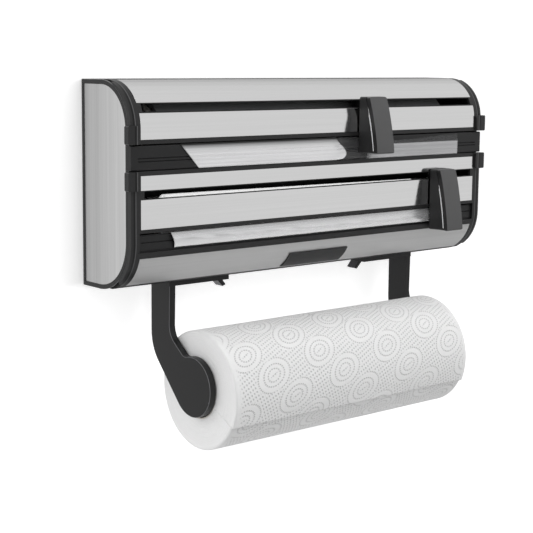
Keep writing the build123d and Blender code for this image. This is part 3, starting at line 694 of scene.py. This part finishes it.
# cling film drawn over the middle bar, torn off just left of the upper cutter
def film_front(x, z):
    """How far the film stands in front of the bar at a height: tight at the foot, slack above."""
    slack = 0.35 * math.sin(max(0.0, min(1.0, (z - 12.6) / 17)) * math.pi)
    return -64.45 - slack * (1 + 0.4 * math.sin(x * 0.07)) - 0.06 * math.sin(z * 2.1 + x * 0.01)


def film_left(i, j):
    z = 12.7 + j * 18.0
    start = -124.4 - (z - 12.7) * 0.93
    s = (z - 12.7) / 18.0
    end = 17.5 + 8.5 * math.sin(min(1.0, s * 1.25) * math.pi) ** 0.8 * (1 - s) - 6.5 * s
    x = start + (end - start) * i
    curl = max(0.0, (i - 0.93) / 0.07)
    return x, film_front(x, z) - 1.5 * curl * curl * (1 - 0.4 * s), z + 0.8 * curl * curl


def film_right(i, j):
    x = 10 + i * 144.0
    top = 26.3 + 3.4 * max(0.0, min(1.0, (x - 92) / 58)) if x > 60 else 30.4
    z = 12.5 + j * (top - 12.5)
    return x, film_front(x, z) + 0.25, z


thin_sheet("film_drawn", surface(120, 20, film_left), FILM_LEFT, "housing", "film_sheet",
           0.06)
thin_sheet("film_clear", surface(120, 20, film_right), FILM_RIGHT, "housing", "film_sheet",
           0.04)


# foil coming over the lip of the exit plate, bowed out and cut at its left end
def foil_point(i, j):
    z = -44.3 + j * 11.8
    start = -148.2 + 2.6 * (1 - j) + 0.5 * math.sin(j * 5)
    x = start + (138.0 - start) * i
    bow = 1.5 * math.sin(max(0.0, min(1.0, j)) * math.pi * 0.85 + 0.2)
    crinkle = 0.10 * math.sin(x * 0.21 + z) * math.sin(x * 0.043)
    curl = 0.9 * math.exp(-(x - start) / 2.5)
    return x, -62.5 - bow + crinkle - curl * 0.4, z


thin_sheet("foil_drawn", surface(160, 14, foil_point), FOIL, "lower_flap", "foil_sheet", 0.08)


# the foil's web rising from the roll to the slot and turning down behind the panel, painted pale and glowing as a
# glint
def web_point(i, j):
    x = -152 + i * 256
    ridge = -5.6 - 1.9 * i
    path = ((-47.5, -15.0), (-52.5, ridge - 3.2), (-56.4, ridge - 0.3),
            (-57.9, ridge), (-58.3, ridge - 0.4), (-58.4, -24.0))
    k = min(int(j * 5), 4)
    f = j * 5 - k
    y = path[k][0] + (path[k + 1][0] - path[k][0]) * f
    z = path[k][1] + (path[k + 1][1] - path[k][1]) * f
    return x, y + 0.05 * math.sin(x * 0.09), z + 0.04 * math.sin(x * 0.05 + 1)


thin_sheet("foil_web", surface(60, 20, web_point), FOIL_WEB_GLINT, "lower_flap", "foil_sheet", 0.08)


# pale strip painted as a highlight along the edge where each knob's cover meets its body
def painted_highlight_strip(name, body, x, top, bottom):
    height = top - bottom
    fronts = (-74.2, -80.2, -84.4)

    def front(z):
        s = (top - z) / height
        a, b, c = fronts
        return (a * (s - 0.45) * (s - 1) / 0.45 + b * s * (s - 1) / (0.45 * -0.55) + c * s * (s - 0.45) / 0.55)

    for side, tag in ((-1, "left"), (1, "right")):
        def point(i, j):
            z = top - 3.2 - i * (height - 5.4)
            pinch = 0.30 + 0.15 * math.sin(i * math.pi)
            return x + side * 9.56, front(z) + 4.6 + (j - 0.5) * 2 * pinch, z
        piece = finish_mesh(f"{name}_seam_{tag}", surface(24, 2, point), PLASTIC_PAINTED_HIGHLIGHT, body)
        thick = piece.modifiers.new("thickness", "SOLIDIFY")
        thick.thickness = 0.00012
        thick.offset = 0
        piece.visible_glossy = False


painted_highlight_strip("upper_cutter", "upper_cutter", 47.5, 62.4, 17.4)
painted_highlight_strip("lower_cutter", "lower_cutter", 131.7, 0.3, -50.8)


# ------------------------------------------------------------------ studio
def stage_plane(name, size, location, rotation, colour, glow=0.0, shade=False, seen_glow=0.0):
    bm = bmesh.new()
    bmesh.ops.create_grid(bm, x_segments=1, y_segments=1, size=size)
    mesh = bpy.data.meshes.new(name)
    bm.to_mesh(mesh)
    bm.free()
    o = bpy.data.objects.new(name, mesh)
    o.location = location
    o.rotation_euler = rotation
    bpy.context.collection.objects.link(o)
    m = bpy.data.materials.new(name)
    m.use_nodes = True
    t = m.node_tree
    bsdf = t.nodes["Principled BSDF"]
    bsdf.inputs["Base Color"].default_value = (*colour, 1)
    bsdf.inputs["Roughness"].default_value = 1.0
    bsdf.inputs["Specular IOR Level"].default_value = 0.0
    bsdf.inputs["Emission Color"].default_value = (1, 1, 1, 1)
    bsdf.inputs["Emission Strength"].default_value = glow
    if shade:
        # a soft shade on the wall beside the housing's left end
        place = t.nodes.new("ShaderNodeTexCoord").outputs["Object"]
        at = t.nodes.new("ShaderNodeSeparateXYZ")
        t.links.new(place, at.inputs[0])
        near = spread(t, at.outputs["X"], -0.235, -0.186)
        near = maths(t, "MULTIPLY", near, near)
        inside = spread(t, maths(t, "ABSOLUTE", at.outputs["Y"]), 0.074, 0.080, 1.0, 0.0)
        t.links.new(spread(t, maths(t, "MULTIPLY", near, inside), 0, 1, glow, glow - 0.26),
                    bsdf.inputs["Emission Strength"])
    if seen_glow:
        # pale in the picture without lighting the object from below
        path = t.nodes.new("ShaderNodeLightPath")
        t.links.new(maths(t, "MULTIPLY", path.outputs["Is Camera Ray"], seen_glow),
                    bsdf.inputs["Emission Strength"])
    clear = t.nodes.new("ShaderNodeBsdfTransparent")
    mix = t.nodes.new("ShaderNodeMixShader")
    back = t.nodes.new("ShaderNodeNewGeometry")
    t.links.new(back.outputs["Backfacing"], mix.inputs[0])
    t.links.new(bsdf.outputs[0], mix.inputs[1])
    t.links.new(clear.outputs[0], mix.inputs[2])
    t.links.new(mix.outputs[0], t.nodes["Material Output"].inputs["Surface"])
    mesh.materials.append(m)
    return o


wall = stage_plane("wall", 2.5, (0, 0.0006, 0), (math.radians(90), 0, 0), (0.70, 0.70, 0.70),
                   glow=0.68, shade=True)
wall.visible_shadow = False
wall.visible_glossy = False
floor = stage_plane("floor", 2.5, (0, -1.5, -0.75), (0, 0, 0), (0.50, 0.50, 0.50), seen_glow=0.9)


def softbox(name, power, size, location, target):
    lamp = bpy.data.lights.new(name, "AREA")
    lamp.energy = power
    lamp.shape = "RECTANGLE"
    lamp.size, lamp.size_y = size
    o = bpy.data.objects.new(name, lamp)
    o.location = location
    o.rotation_euler = (Vector(target) - Vector(location)).to_track_quat("-Z", "Y").to_euler()
    bpy.context.collection.objects.link(o)
    return o


key = softbox("key", 9, (0.9, 0.9), (1.3, -1.2, 0.8), (0, 0, 0))
key.visible_glossy = False
top = softbox("top", 7, (1.4, 0.8), (0.2, -1.3, 1.5), (0, -0.05, -0.1))
top.visible_glossy = False
softbox("rim", 2.0, (0.25, 0.9), (-1.1, -0.35, 0.55), (0, -0.05, 0))

world = bpy.data.worlds.new("studio")
bpy.context.scene.world = world
world.use_nodes = True
wt = world.node_tree
wt.nodes.clear()
out = wt.nodes.new("ShaderNodeOutputWorld")
light = wt.nodes.new("ShaderNodeBackground")
light.inputs["Color"].default_value = (1, 1, 1, 1)
light.inputs["Strength"].default_value = 0.67
seen = wt.nodes.new("ShaderNodeBackground")
seen.inputs["Color"].default_value = (1, 1, 1, 1)
seen.inputs["Strength"].default_value = 1.0
path = wt.nodes.new("ShaderNodeLightPath")
pick = wt.nodes.new("ShaderNodeMixShader")
wt.links.new(path.outputs["Is Camera Ray"], pick.inputs[0])
wt.links.new(light.outputs[0], pick.inputs[1])
wt.links.new(seen.outputs[0], pick.inputs[2])
wt.links.new(pick.outputs[0], out.inputs["Surface"])
